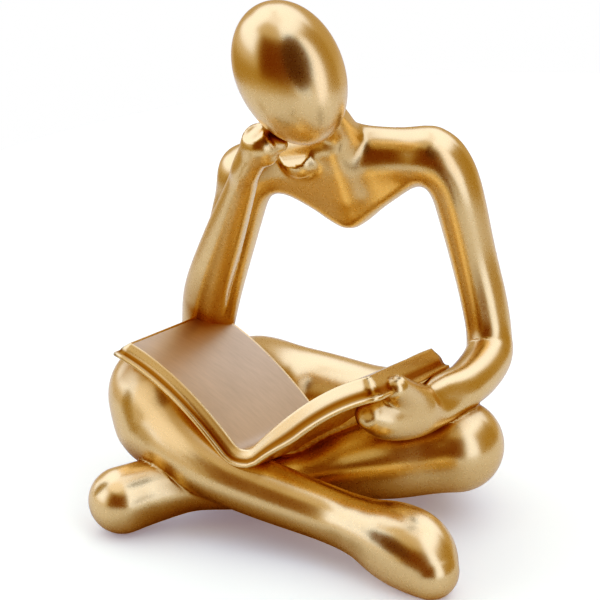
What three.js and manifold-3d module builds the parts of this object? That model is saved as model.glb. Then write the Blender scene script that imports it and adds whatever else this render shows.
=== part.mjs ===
// Reading figure: an abstract sitting figure with crossed legs, an open book on its lap,
// one hand under its tilted egg-shaped head and the other on the edge of the book.
// Millimetres, +Z up. The figure faces -Y and its own left hand is on +X.
// The stations are measured from a point on the floor close to the figure's middle, and the
// finished mesh is moved so that the origin lies on the floor under the middle of its box.

import * as THREE from 'three'
import Module from 'manifold-3d'
import { mergeVertices } from 'three/addons/utils/BufferGeometryUtils.js'

const wasm = await Module()
wasm.setup()

// Body stations: [x, y, z, radius of the flesh around that point]

// Shoulders, chest and neck
const SHOULDER_RIGHT = [-24.1, 22.9, 87.4, 6.1]
const COLLAR_RIGHT = [-13.4, 26, 90, 5]
const NAPE = [2.5, 28.2, 94.8, 5.9]
const COLLAR_LEFT = [15.1, 28.2, 96.4, 5.8]
const SHOULDER_LEFT = [26.6, 28.3, 96.2, 6.3]
const NECK_ROOT = [2.8, 28.2, 95.3, 6]
const NECK_MIDDLE = [1.7, 19.6, 105.9, 5.1]
const NECK_TOP = [-1.7, 9.3, 118.8, 5]
const CHEST_RIGHT = [-16, 24.1, 90.1]
const CHEST_LEFT = [21.6, 29, 92.8]
const CHEST_TIP = [3.3, 29.6, 77]
const CHEST_RADIUS = 5.4
const CHEST_TOP = [0.5, 20.8, 99.5]
const CHEST_TOP_RIGHT = [-17, 22.6, 93.8]
const CHEST_MIDDLE = [3, 26.4, 85]
const BREAST_TOP = [1, 27.6, 93.2, 6.3]
const BREAST = [2, 29.1, 86.2, 6.4]
const BREAST_LOW = [3.3, 30, 79.6, 5.8]

// Right arm, its elbow on the right thigh and its hand under the cheek
const UPPER_ARM_RIGHT = [-25.2, 23.9, 80.5, 7.1]
const ARM_MIDDLE_RIGHT = [-28.4, 25.8, 67.8, 6.9]
const LOWER_ARM_RIGHT = [-33, 29.2, 48.5, 6.1]
const ELBOW_RIGHT = [-36.8, 29.9, 33.2, 6.6]
const ELBOW_FRONT_RIGHT = [-37.1, 28.8, 39.3, 6.4]
const FOREARM_RIGHT = [-34.8, 23.2, 51.9, 6.2]
const FOREARM_MIDDLE_RIGHT = [-28.4, 16.1, 70.2, 5.6]
const WRIST_RIGHT = [-21, 7.3, 90.5, 4.2]
const PALM_ROOT_RIGHT = [-18.3, 3.4, 98, 4.2]
const PALM_RIGHT = [-14.4, 0.5, 107.4, 4.4]
const KNUCKLES_RIGHT = [-12.8, 0.5, 104.7, 3.6]
const FINGERTIPS_RIGHT = [-11.6, 0.4, 103.7, 2.7]

// Flat places cast on the right hand and beside the collar: a spot on each and the way it faces
const HAND_FACET = [-15.7, -1.1, 110.5]
const HAND_FACET_WAY = [-0.35, -0.42, 0.83]
const HAND_END = [-10.3, -2.3, 107.4]
const HAND_END_WAY = [0.73, 0.18, 0.56]
const COLLAR_BUMP = [-7.2, 19.4, 92.9, 5.4]
const COLLAR_FACET = [-8.3, 17.3, 96.2]
const COLLAR_FACET_WAY = [-0.27, -0.52, 0.81]

// Left arm, its hand around the edge of the book and its thumb on the page
const SHOULDER_ROUND_LEFT = [30.8, 28.4, 93.4, 6.8]
const UPPER_ARM_LEFT = [33.6, 29.2, 85.8, 7]
const ARM_MIDDLE_LEFT = [37.5, 31.1, 66.9, 6.4]
const LOWER_ARM_LEFT = [40.8, 31, 53, 6.3]
const ELBOW_LEFT = [42.7, 29.4, 43.8, 6.2]
const ELBOW_FRONT_LEFT = [43.5, 24.5, 38.8, 6.5]
const FOREARM_LEFT = [41.4, 10.4, 37.4, 6.2]
const WRIST_LEFT = [36.6, 1, 38.9, 4.6]
const ARM_END_LEFT = [33.7, -4.9, 39.6, 3]
const HAND_HEEL_LEFT = [42, 7.1, 35.6, 3.7]
const HAND_EDGE_LEFT = [36.5, -2.6, 34.5, 4.4]
const PALM_LEFT = [31.5, -10.2, 36.4, 6.6]
const KNUCKLES_LEFT = [26.9, -18.1, 38.6, 6.3]
const FINGERTIPS_LEFT = [23.3, -22.2, 40.7, 4.4]
const THUMB_ROOT_LEFT = [31.8, -9.1, 39.9, 4.6]
const THUMB_LEFT = [30.2, -15.7, 45.3, 3.7]
const THUMB_TIP_LEFT = [29.9, -19.9, 48.4, 3.2]

// Seat and thighs
const HIP_RIGHT = [-24.3, 37.4, 13.5, 15.4]
const SEAT = [-8.4, 40.6, 12, 13.7]
const HIP_LEFT = [13, 37, 11.2, 12.7]
const THIGH_BACK_RIGHT = [-28, 23.9, 21.6, 12.4]
const THIGH_RIGHT = [-35.3, 7.5, 27, 11.6]
const KNEE_TOP_RIGHT = [-40.6, -4.2, 32.2, 13.8]
const THIGH_BACK_LEFT = [25, 27.8, 15.8, 12]
const THIGH_LEFT = [34.4, 15.8, 17.9, 12.2]
const KNEE_LEFT = [39.8, 6.9, 20.2, 12.4]

// Shins and feet, the right one crossing in front
const KNEE_RIGHT = [-37.8, -6.2, 26.3, 15.1]
const SHIN_TOP_RIGHT = [-30.6, -14.4, 22.2, 11.8]
const SHIN_RIGHT = [-19.7, -21.5, 18.9, 8.9]
const SHIN_CROSSING_RIGHT = [-5.7, -24.9, 15.9, 8.2]
const SHIN_LOW_RIGHT = [13.9, -29, 12.7, 7.7]
const ANKLE_RIGHT = [24.9, -33.3, 11.8, 8.5]
const HEEL_RIGHT = [34.4, -36.6, 10.4, 11]
const FOOT_RIGHT = [40.4, -39.9, 9.4, 10.8]
const TOES_RIGHT = [45.5, -43.7, 6.6, 7.8]
const CALF_TOP_LEFT = [31.2, 4.6, 19, 12.3]
const CALF_LEFT = [22.3, 1.2, 18, 12.1]
const CALF_LOW_LEFT = [12.4, -3.5, 16.5, 10]
const SHIN_CROSSING_LEFT = [-0.1, -9, 12.7, 7.8]
const SHIN_LEFT = [-16.6, -15.4, 12.7, 7.6]
const ANKLE_LEFT = [-28.5, -18, 11.8, 7.6]
const FOOT_LEFT = [-38.6, -22.2, 10.2, 8.7]
const TOES_LEFT = [-45.3, -27.2, 9, 9.2]

// Head: an egg that leans to the figure's right and nods forward
const HEAD_CENTRE = [-5, -1, 129.2]
const HEAD_HALF_WIDTH = 14.4
const HEAD_HALF_DEPTH = 15.2
const HEAD_HALF_HEIGHT = 22.5
const HEAD_TAPER = 0.05
const HEAD_ROLL = -17.4
const HEAD_NOD = 17.1

// Book: the near end of its spine, its attitude in degrees and its sizes
const SPINE_NEAR = [-11.4, -26.5, 27.9]
const BOOK_TURN = -15
const BOOK_TILT = -10.3
const BOOK_ROLL = -4.7
const PAGE_LENGTH = 45.5
const PAGE_WIDTH_RIGHT_HAND = 36
const PAGE_WIDTH_LEFT_HAND = 34.2
const COVER_MARGIN = 2.3
const COVER_THICKNESS = 1.9
const PAGES_THIN = 3
const PAGES_THICK = 5.2
const PAGES_THIN_UNTIL = 1
const PAGES_THICK_FROM = 12
const SEAM_OVERLAP = 0.3
const HAND_SUNK_IN_COVER = 0.3

// The open pages climb from the spine as CLIMB * u - ARCH * u * u, less the width of the gutter
const PAGE_CLIMB = 1.115
const PAGE_ARCH = 0.0102
const PAGE_GUTTER = 2
const GUTTER_ROUNDING = 0.8
const SLOPE_STEP = 0.1
const PAGE_STEP = 2.4

// The page on the figure's left widens by these shares of its width, at its near and far ends
const WIDER_NEAR = 0.115
const WIDER_FAR = -0.05

// Lap filling: the solid stretch between the legs, under the book
const LAP_UNDERSIDE = 5
const LAP_BELOW_PAGES = 4.2
const LAP_TOP_BEHIND_BOOK = 14
const LAP_SETBACK = 4.5
const CLEAR_BELOW_PAGES = 2.2
const CLEAR_ABOVE_SPINE = 34

// Softness of the joins
const SOFT_TORSO = 8
const SOFT_BREAST = 6
const SOFT_NECK = 4
const SOFT_COLLAR = 1.6
const SOFT_SHOULDER = 8
const SOFT_HIP = 6
const SOFT_HAND = 4
const SOFT_WRIST = 3
const SOFT_THUMB = 3
const SOFT_BODY = 1.5
const SOFT_KNEE = 2
const SOFT_CREASE = 0.8

const STEPS_PER_STATION = 6
const CELL = 3.7
const GRID_MARGIN = 2
const FILLED_DEPTH = CELL / 20
const SETTLE_STEP = CELL / 100
const SAME_POINT = 1e-4
const NOT_ZERO = 1e-9
const FLOOR_BOX = 200
const GOLD = { color: 0xc79a4b, roughness: 0.3, metalness: 1 }

const toRadians = THREE.MathUtils.degToRad

// Soft union of two distances: the lower one, rounded where the two are within width
function melt(a, b, width) {
  const overlap = Math.max(width - Math.abs(a - b), 0) / width
  return Math.min(a, b) - (overlap ** 3 * width) / 6
}

// Distance to a limb: round cones along a smooth curve through its stations
function limb(...stations) {
  const path = new THREE.CatmullRomCurve3(
    stations.map(([x, y, z]) => new THREE.Vector3(x, y, z)), false, 'catmullrom')
  const girth = new THREE.CatmullRomCurve3(
    stations.map(([, , , radius]) => new THREE.Vector3(radius, 0, 0)), false, 'catmullrom')
  const steps = (stations.length - 1) * STEPS_PER_STATION
  const beads = []
  for (let i = 0; i <= steps; i++) {
    beads.push({ at: path.getPoint(i / steps), radius: girth.getPoint(i / steps).x })
  }
  const links = beads.slice(1).map((end, i) => {
    const start = beads[i]
    const along = end.at.clone().sub(start.at)
    return { start, along, lengthSquared: along.lengthSq(), widening: end.radius - start.radius }
  })
  return (x, y, z) => {
    let nearest = Infinity
    for (const { start, along, lengthSquared, widening } of links) {
      const dx = x - start.at.x
      const dy = y - start.at.y
      const dz = z - start.at.z
      const dot = (dx * along.x + dy * along.y + dz * along.z) / lengthSquared
      const t = Math.min(Math.max(dot, 0), 1)
      const gap = Math.hypot(dx - t * along.x, dy - t * along.y, dz - t * along.z)
      nearest = Math.min(nearest, gap - start.radius - t * widening)
    }
    return nearest
  }
}

// Distance to a flat triangle thickened by a radius
function roundedTriangle(cornerA, cornerB, cornerC, radius) {
  const corners = [cornerA, cornerB, cornerC].map((corner) => new THREE.Vector3(...corner))
  const triangle = new THREE.Triangle(...corners)
  const point = new THREE.Vector3()
  const nearest = new THREE.Vector3()
  return (x, y, z) => {
    point.set(x, y, z)
    triangle.closestPointToPoint(point, nearest)
    return point.distanceTo(nearest) - radius
  }
}

// Distance, near the surface, to an egg that is wider towards its upper end by the taper
function egg(centre, halfSizes, taper, turn) {
  const toEgg = turn.clone().invert()
  const origin = new THREE.Vector3(...centre)
  const point = new THREE.Vector3()
  const [a, b, c] = halfSizes
  return (x, y, z) => {
    point.set(x, y, z).sub(origin).applyQuaternion(toEgg)
    const swell = 1 + (taper * point.z) / c
    const u = point.x / swell / a
    const v = point.y / swell / b
    const w = point.z / c
    const level = Math.hypot(u, v, w)
    const slope = Math.hypot(u / a, v / b, w / c)
    return (level * (level - 1)) / Math.max(slope, NOT_ZERO)
  }
}

// Distance in plan to the outline of the lap filling, negative inside it
function planOutline(stations) {
  const outline = stations.map(([x, y]) => new THREE.Vector2(x, y))
  return (x, y) => {
    let nearest = Infinity
    let inside = false
    outline.forEach((start, i) => {
      const end = outline[(i + 1) % outline.length]
      const ex = end.x - start.x
      const ey = end.y - start.y
      const t = Math.min(Math.max(((x - start.x) * ex + (y - start.y) * ey) / (ex * ex + ey * ey), 0), 1)
      nearest = Math.min(nearest, Math.hypot(x - start.x - t * ex, y - start.y - t * ey))
      const crosses = start.y > y !== end.y > y
      if (crosses && x < start.x + (ex * (y - start.y)) / ey) inside = !inside
    })
    return inside ? -nearest : nearest
  }
}

// Book frame: u to the figure's left, v away from the near edge, w up from the pages
const bookTurn = new THREE.Quaternion().setFromEuler(
  new THREE.Euler(toRadians(BOOK_TILT), toRadians(BOOK_ROLL), toRadians(BOOK_TURN), 'ZXY'))
const spineNear = new THREE.Vector3(...SPINE_NEAR)

// Height of the page surface at a distance u from the spine
function pageRise(u) {
  const reach = Math.abs(u)
  const climb = PAGE_CLIMB * reach - PAGE_ARCH * reach * reach - PAGE_GUTTER
  return (climb + Math.hypot(climb, GUTTER_ROUNDING)) / 2
}

// Depth of the page block under the page surface: thin on one side, thick on the other
function pageDepth(u) {
  const thickening = THREE.MathUtils.smoothstep(u, PAGES_THIN_UNTIL, PAGES_THICK_FROM)
  return PAGES_THIN + (PAGES_THICK - PAGES_THIN) * thickening
}

// Point of the book's cross-section at u, at a depth square to the page surface
function sectionPoint(u, depth) {
  const slope = (pageRise(u + SLOPE_STEP) - pageRise(u - SLOPE_STEP)) / (2 * SLOPE_STEP)
  const across = Math.hypot(1, slope)
  return new THREE.Vector2(u + (slope * depth) / across, pageRise(u) - depth / across)
}

// Distance from the spine at v, once the page on the figure's left is given its slant
function widened(u, v) {
  return u > 0 ? u * (1 + WIDER_NEAR + ((WIDER_FAR - WIDER_NEAR) * v) / PAGE_LENGTH) : u
}

// One curved layer of the book between two depths, extruded along the spine and then widened
function bookLayer(uStart, uEnd, topDepth, bottomDepth, vStart, vEnd) {
  const steps = Math.round((uEnd - uStart) / PAGE_STEP)
  const places = Array.from({ length: steps + 1 }, (_, i) => uStart + ((uEnd - uStart) * i) / steps)
  const bottom = places.map((u) => sectionPoint(u, bottomDepth(u)))
  const top = places.map((u) => sectionPoint(u, topDepth(u))).reverse()
  const section = new THREE.Shape([...bottom, ...top])
  const layer = new THREE.ExtrudeGeometry(section, { depth: vEnd - vStart, bevelEnabled: false })
  layer.rotateX(Math.PI / 2)
  layer.translate(0, vEnd, 0)
  const corners = layer.attributes.position
  for (let i = 0; i < corners.count; i++) {
    const u = widened(corners.getX(i), corners.getY(i))
    corners.setZ(i, corners.getZ(i) + pageRise(u) - pageRise(corners.getX(i)))
    corners.setX(i, u)
  }
  layer.applyQuaternion(bookTurn)
  layer.translate(...SPINE_NEAR)
  return layer
}

function pageBlock() {
  return bookLayer(-PAGE_WIDTH_RIGHT_HAND, PAGE_WIDTH_LEFT_HAND, () => 0, pageDepth, 0, PAGE_LENGTH)
}

function bookCover() {
  return bookLayer(
    -PAGE_WIDTH_RIGHT_HAND - COVER_MARGIN,
    PAGE_WIDTH_LEFT_HAND + COVER_MARGIN,
    (u) => pageDepth(u) - SEAM_OVERLAP,
    (u) => pageDepth(u) + COVER_THICKNESS,
    -COVER_MARGIN,
    PAGE_LENGTH + COVER_MARGIN)
}

// Limbs
const shoulderBar = limb(SHOULDER_RIGHT, COLLAR_RIGHT, NAPE, COLLAR_LEFT, SHOULDER_LEFT)
const chest = roundedTriangle(CHEST_RIGHT, CHEST_LEFT, CHEST_TIP, CHEST_RADIUS)
const chestTop = roundedTriangle(CHEST_TOP_RIGHT, CHEST_TOP, CHEST_MIDDLE, CHEST_RADIUS)
const breast = limb(BREAST_TOP, BREAST, BREAST_LOW)
const neck = limb(NECK_ROOT, NECK_MIDDLE, NECK_TOP)
const upperArmRight = limb(SHOULDER_RIGHT, UPPER_ARM_RIGHT, ARM_MIDDLE_RIGHT, LOWER_ARM_RIGHT, ELBOW_RIGHT)
const forearmRight = limb(
  ELBOW_RIGHT, ELBOW_FRONT_RIGHT, FOREARM_RIGHT, FOREARM_MIDDLE_RIGHT, WRIST_RIGHT,
  PALM_ROOT_RIGHT, PALM_RIGHT)
const handRight = limb(PALM_RIGHT, KNUCKLES_RIGHT, FINGERTIPS_RIGHT)
const collarBump = limb(COLLAR_BUMP, NAPE)
const armLeft = limb(
  SHOULDER_LEFT, SHOULDER_ROUND_LEFT, UPPER_ARM_LEFT, ARM_MIDDLE_LEFT, LOWER_ARM_LEFT,
  ELBOW_LEFT, ELBOW_FRONT_LEFT, FOREARM_LEFT, WRIST_LEFT, ARM_END_LEFT)
const handLeft = limb(HAND_HEEL_LEFT, HAND_EDGE_LEFT, PALM_LEFT, KNUCKLES_LEFT, FINGERTIPS_LEFT)
const thumbLeft = limb(THUMB_ROOT_LEFT, THUMB_LEFT, THUMB_TIP_LEFT)
const seat = limb(HIP_RIGHT, SEAT, HIP_LEFT)
const thighRight = limb(HIP_RIGHT, THIGH_BACK_RIGHT, THIGH_RIGHT, KNEE_TOP_RIGHT, KNEE_RIGHT)
const thighLeft = limb(HIP_LEFT, THIGH_BACK_LEFT, THIGH_LEFT, KNEE_LEFT)
const shinRight = limb(
  KNEE_RIGHT, SHIN_TOP_RIGHT, SHIN_RIGHT, SHIN_CROSSING_RIGHT, SHIN_LOW_RIGHT,
  ANKLE_RIGHT, HEEL_RIGHT, FOOT_RIGHT, TOES_RIGHT)
const shinLeft = limb(
  KNEE_LEFT, CALF_TOP_LEFT, CALF_LEFT, CALF_LOW_LEFT, SHIN_CROSSING_LEFT,
  SHIN_LEFT, ANKLE_LEFT, FOOT_LEFT, TOES_LEFT)
const headTurn = new THREE.Quaternion().setFromEuler(
  new THREE.Euler(toRadians(HEAD_NOD), toRadians(HEAD_ROLL), 0, 'ZXY'))
const head = egg(HEAD_CENTRE, [HEAD_HALF_WIDTH, HEAD_HALF_DEPTH, HEAD_HALF_HEIGHT], HEAD_TAPER, headTurn)
const lapPlan = planOutline([
  SHIN_TOP_RIGHT, SHIN_LEFT, SHIN_CROSSING_LEFT, CALF_LOW_LEFT, CALF_LEFT,
  THIGH_BACK_LEFT, HIP_LEFT, SEAT, HIP_RIGHT, THIGH_BACK_RIGHT, THIGH_RIGHT])

// Place of a point in the book frame
const bookPoint = new THREE.Vector3()
const toBook = bookTurn.clone().invert()
function inBook(x, y, z) {
  return bookPoint.set(x, y, z).sub(spineNear).applyQuaternion(toBook)
}

// The lower body with the filling under the book, cleared from above the open pages
function lowerBody(x, y, z) {
  const legLeft = melt(thighLeft(x, y, z), shinLeft(x, y, z), SOFT_KNEE)
  const legRight = melt(thighRight(x, y, z), shinRight(x, y, z), SOFT_KNEE)
  const seated = seat(x, y, z)
  const left = melt(legLeft, seated, SOFT_HIP)
  const right = melt(legRight, seated, SOFT_HIP)
  const { x: u, y: v, z: w } = inBook(x, y, z)
  const pages = pageRise(Math.min(u, PAGE_WIDTH_LEFT_HAND))
  const underBook = Math.max(w - pages + LAP_BELOW_PAGES, LAP_SETBACK - v, v - PAGE_LENGTH)
  const behindBook = Math.max(z - LAP_TOP_BEHIND_BOOK, PAGE_LENGTH / 2 - v)
  const filling = Math.max(lapPlan(x, y), LAP_UNDERSIDE - z, Math.min(underBook, behindBook))
  const clearing = Math.max(
    -PAGE_WIDTH_RIGHT_HAND - u, u - PAGE_WIDTH_LEFT_HAND, -v, v - PAGE_LENGTH,
    pages - CLEAR_BELOW_PAGES - w, w - CLEAR_ABOVE_SPINE)
  const legs = melt(melt(left, right, SOFT_CREASE), filling, SOFT_CREASE)
  return Math.max(legs, -clearing)
}

// Distance in front of a plane through a spot, facing the way given
function plane(spot, way) {
  const facing = new THREE.Vector3(...way).normalize()
  const level = facing.dot(new THREE.Vector3(...spot))
  return (x, y, z) => facing.x * x + facing.y * y + facing.z * z - level
}

const handFacet = plane(HAND_FACET, HAND_FACET_WAY)
const handEnd = plane(HAND_END, HAND_END_WAY)
const collarFacet = plane(COLLAR_FACET, COLLAR_FACET_WAY)

// The left hand under the cover, with its thumb over the edge
function holdingHand(x, y, z) {
  const { x: u, y: v, z: w } = inBook(x, y, z)
  const edge = widened(PAGE_WIDTH_LEFT_HAND, v) + COVER_MARGIN - HAND_SUNK_IN_COVER
  const underside = pageRise(u) - PAGES_THICK - COVER_THICKNESS + HAND_SUNK_IN_COVER
  const fingers = Math.max(handLeft(x, y, z), -Math.max(u - edge, underside - w))
  return melt(fingers, thumbLeft(x, y, z), SOFT_THUMB)
}

function torso(x, y, z) {
  const front = melt(melt(chest(x, y, z), breast(x, y, z), SOFT_BREAST), chestTop(x, y, z), SOFT_BREAST)
  return melt(melt(shoulderBar(x, y, z), front, SOFT_TORSO), neck(x, y, z), SOFT_NECK)
}

function upperBody(x, y, z) {
  const holdingArm = melt(armLeft(x, y, z), holdingHand(x, y, z), SOFT_WRIST)
  const leftSide = melt(torso(x, y, z), holdingArm, SOFT_SHOULDER)
  const arms = melt(leftSide, upperArmRight(x, y, z), SOFT_SHOULDER)
  const collar = Math.max(collarBump(x, y, z), collarFacet(x, y, z))
  const round = melt(forearmRight(x, y, z), handRight(x, y, z), SOFT_HAND)
  const forearm = Math.max(round, handFacet(x, y, z), handEnd(x, y, z))
  return melt(Math.min(melt(arms, collar, SOFT_COLLAR), head(x, y, z)), forearm, SOFT_CREASE)
}

function figure(x, y, z) {
  return melt(upperBody(x, y, z), lowerBody(x, y, z), SOFT_BODY)
}

// Box of all stations with their radii, on whole cells
function gridBox() {
  const stations = [
    TOES_LEFT, TOES_RIGHT, HEEL_RIGHT, KNEE_LEFT, KNEE_RIGHT, HIP_RIGHT, SEAT, HIP_LEFT, ELBOW_LEFT,
    [...HEAD_CENTRE, HEAD_HALF_HEIGHT]]
  const box = new THREE.Box3()
  for (const [x, y, z, radius] of stations) {
    const centre = new THREE.Vector3(x, y, z)
    box.union(new THREE.Box3().setFromCenterAndSize(centre, new THREE.Vector3().setScalar(2 * radius)))
  }
  return box.expandByScalar(GRID_MARGIN)
}

// Where two solid corners of a grid face meet only across its diagonal, the face is made
// solid, so that every edge of the skin has two faces
function fillDiagonals(values, strides) {
  let changed = true
  while (changed) {
    changed = false
    for (let index = 0; index < values.length; index++) {
      for (const [first, second] of [[0, 1], [1, 2], [2, 0]]) {
        const face = [0, strides[first], strides[first] + strides[second], strides[second]]
        const [a, b, c, d] = face.map((step) => values[index + step] < 0)
        if (a !== c || b !== d || a === b) continue
        const empty = face.map((step) => index + step).filter((at) => values[at] >= 0)
        const nearest = empty.reduce((best, at) => (values[at] < values[best] ? at : best))
        values[nearest] = -FILLED_DEPTH
        changed = true
      }
    }
  }
}

// Closed skin of a solid: one vertex in each grid cell that the surface crosses, and one
// four-sided face around each grid edge that it crosses
function skinOf(field, box, cell) {
  const low = box.min.toArray()
  const counts = box.getSize(new THREE.Vector3()).toArray().map((size) => Math.ceil(size / cell) + 1)
  const strides = [1, counts[0], counts[0] * counts[1]]
  const values = new Float64Array(counts[0] * counts[1] * counts[2])
  const placeOf = (index) => [0, 1, 2].map((axis) => Math.floor(index / strides[axis]) % counts[axis])
  const pointOf = (place) => place.map((step, axis) => low[axis] + step * cell)
  values.forEach((_, index) => {
    values[index] = field(...pointOf(placeOf(index)))
  })
  fillDiagonals(values, strides)

  // Moves a point onto the surface along the slope of the distance, inside its own cell
  const settle = (point, place) => {
    const here = field(...point)
    const slope = point.map((_, axis) => {
      const beside = point.map((value, k) => (k === axis ? value + SETTLE_STEP : value))
      return (field(...beside) - here) / SETTLE_STEP
    })
    const steepness = slope.reduce((sum, value) => sum + value * value, NOT_ZERO)
    const corner = pointOf(place)
    return point.map((value, axis) => {
      const moved = value - (here * slope[axis]) / steepness
      return THREE.MathUtils.clamp(moved, corner[axis] + SETTLE_STEP, corner[axis] + cell - SETTLE_STEP)
    })
  }

  const positions = []
  const vertexOf = new Map()
  values.forEach((_, index) => {
    const place = placeOf(index)
    if (place.some((step, axis) => step === counts[axis] - 1)) return
    const crossings = cellCrossings(values, strides, index, place)
    if (crossings.length === 0) return
    const middle = [0, 1, 2].map(
      (axis) => crossings.reduce((sum, crossing) => sum + crossing[axis], 0) / crossings.length)
    vertexOf.set(index, positions.length / 3)
    positions.push(...settle(pointOf(middle), place))
  })

  const triangles = []
  values.forEach((value, index) => {
    strides.forEach((stride, axis) => {
      if (placeOf(index)[axis] === counts[axis] - 1) return
      if (value < 0 === values[index + stride] < 0) return
      const back = strides[(axis + 1) % 3]
      const side = strides[(axis + 2) % 3]
      const ring = [index - back - side, index - side, index, index - back].map((at) => vertexOf.get(at))
      if (value >= 0) ring.reverse()
      triangles.push(ring[0], ring[1], ring[2], ring[0], ring[2], ring[3])
    })
  })
  const geometry = new THREE.BufferGeometry()
  geometry.setAttribute('position', new THREE.Float32BufferAttribute(positions, 3))
  geometry.setIndex(triangles)
  return geometry
}

// Places, in cells, where the surface crosses the twelve edges of one cell
function cellCrossings(values, strides, index, place) {
  const crossings = []
  strides.forEach((stride, axis) => {
    const others = [0, 1, 2].filter((other) => other !== axis)
    for (let corner = 0; corner < 4; corner++) {
      const offset = [0, 0, 0]
      offset[others[0]] = corner & 1
      offset[others[1]] = corner >> 1
      const start = index + offset.reduce((sum, step, k) => sum + step * strides[k], 0)
      const before = values[start]
      const after = values[start + stride]
      if (before < 0 === after < 0) continue
      offset[axis] = before / (before - after)
      crossings.push(place.map((step, k) => step + offset[k]))
    }
  })
  return crossings
}

function solidOf(geometry) {
  const bare = geometry.clone()
  bare.deleteAttribute('normal')
  bare.deleteAttribute('uv')
  const merged = mergeVertices(bare, SAME_POINT)
  const vertProperties = new Float32Array(merged.attributes.position.array)
  const triVerts = new Uint32Array(merged.index.array)
  return new wasm.Manifold(new wasm.Mesh({ numProp: 3, vertProperties, triVerts }))
}

function geometryOf(solid) {
  const { vertProperties, triVerts } = solid.getMesh()
  const geometry = new THREE.BufferGeometry()
  geometry.setAttribute('position', new THREE.BufferAttribute(vertProperties, 3))
  geometry.setIndex(new THREE.BufferAttribute(triVerts, 1))
  geometry.computeVertexNormals()
  return geometry
}

// The figure and its book, one casting, cut flat where it stands on the floor
function readingFigure() {
  const body = solidOf(skinOf(figure, gridBox(), CELL))
  const book = solidOf(pageBlock()).add(solidOf(bookCover()))
  const below = new THREE.BoxGeometry(FLOOR_BOX, FLOOR_BOX, FLOOR_BOX).translate(0, 0, -FLOOR_BOX / 2)
  const geometry = geometryOf(body.add(book).subtract(solidOf(below)))
  const mesh = new THREE.Mesh(geometry, new THREE.MeshStandardMaterial(GOLD))
  mesh.name = 'reading_figure'
  geometry.computeBoundingBox()
  const middle = geometry.boundingBox.getCenter(new THREE.Vector3())
  mesh.position.set(-middle.x, -middle.y, 0)
  return mesh
}

const statue = new THREE.Group()
statue.add(readingFigure())

export default statue
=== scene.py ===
# Reading figure: the looks of a gold figurine that reads a book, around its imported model.
# Stations and sizes are in millimetres, as on the part; MM turns them into metres.

import math

import bmesh
import bpy
import numpy as np
from mathutils import Euler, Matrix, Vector


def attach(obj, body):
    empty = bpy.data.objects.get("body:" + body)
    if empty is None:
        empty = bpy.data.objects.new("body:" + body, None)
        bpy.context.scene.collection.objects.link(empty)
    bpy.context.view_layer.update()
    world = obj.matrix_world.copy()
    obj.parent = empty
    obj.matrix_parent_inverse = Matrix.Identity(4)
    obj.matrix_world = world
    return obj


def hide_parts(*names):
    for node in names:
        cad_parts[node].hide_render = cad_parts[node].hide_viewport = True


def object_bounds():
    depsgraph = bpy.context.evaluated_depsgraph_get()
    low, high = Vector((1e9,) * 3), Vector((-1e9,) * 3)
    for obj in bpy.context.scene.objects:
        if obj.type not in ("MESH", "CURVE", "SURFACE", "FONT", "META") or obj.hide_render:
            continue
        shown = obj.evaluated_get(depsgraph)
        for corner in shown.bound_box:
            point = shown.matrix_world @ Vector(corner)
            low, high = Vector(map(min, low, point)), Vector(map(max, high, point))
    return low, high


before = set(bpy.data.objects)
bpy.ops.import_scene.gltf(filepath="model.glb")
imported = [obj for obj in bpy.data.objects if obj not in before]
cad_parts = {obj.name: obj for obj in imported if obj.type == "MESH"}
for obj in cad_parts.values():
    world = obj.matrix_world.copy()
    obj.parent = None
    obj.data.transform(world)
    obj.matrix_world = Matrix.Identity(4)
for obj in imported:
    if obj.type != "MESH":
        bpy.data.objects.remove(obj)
cad_low, cad_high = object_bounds()

MM = 0.001
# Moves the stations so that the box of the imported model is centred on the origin
CENTRING = np.array([0.703, -1.549, 0])

# Body stations: (x, y, z, radius of the flesh around that point)

# Shoulders, chest and neck
SHOULDER_RIGHT = (-24.1, 22.9, 87.4, 6.1)
COLLAR_RIGHT = (-13.4, 26, 90, 5)
NAPE = (2.5, 28.2, 94.8, 5.9)
COLLAR_LEFT = (15.1, 28.2, 96.4, 5.8)
SHOULDER_LEFT = (26.6, 28.3, 96.2, 6.3)
NECK_ROOT = (2.8, 28.2, 95.3, 6)
NECK_MIDDLE = (1.7, 19.6, 105.9, 5.1)
NECK_TOP = (-1.7, 9.3, 118.8, 5)
CHEST_RIGHT = (-16, 24.1, 90.1)
CHEST_LEFT = (21.6, 29, 92.8)
CHEST_TIP = (3.3, 29.6, 77)
CHEST_RADIUS = 5.4
CHEST_TOP = (0.5, 20.8, 99.5)
CHEST_TOP_RIGHT = (-17, 22.6, 93.8)
CHEST_MIDDLE = (3, 26.4, 85)
BREAST_TOP = (1, 27.6, 93.2, 6.3)
BREAST = (2, 29.1, 86.2, 6.4)
BREAST_LOW = (3.3, 30, 79.6, 5.8)

# Right arm, its elbow on the right thigh and its hand under the cheek
UPPER_ARM_RIGHT = (-25.2, 23.9, 80.5, 7.1)
ARM_MIDDLE_RIGHT = (-28.4, 25.8, 67.8, 6.9)
LOWER_ARM_RIGHT = (-33, 29.2, 48.5, 6.1)
ELBOW_RIGHT = (-36.8, 29.9, 33.2, 6.6)
ELBOW_FRONT_RIGHT = (-37.1, 28.8, 39.3, 6.4)
FOREARM_RIGHT = (-34.8, 23.2, 51.9, 6.2)
FOREARM_MIDDLE_RIGHT = (-28.4, 16.1, 70.2, 5.6)
WRIST_RIGHT = (-21, 7.3, 90.5, 4.2)
PALM_ROOT_RIGHT = (-18.3, 3.4, 98, 4.2)
PALM_RIGHT = (-13.7, 0.4, 107.2, 4.7)
KNUCKLES_RIGHT = (-12.8, 0.5, 104.7, 3.6)
FINGERTIPS_RIGHT = (-11.6, 0.4, 103.7, 2.7)
CHIN_FINGER_RIGHT = (-8.6, 1.2, 106.9, 2.2)

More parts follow.
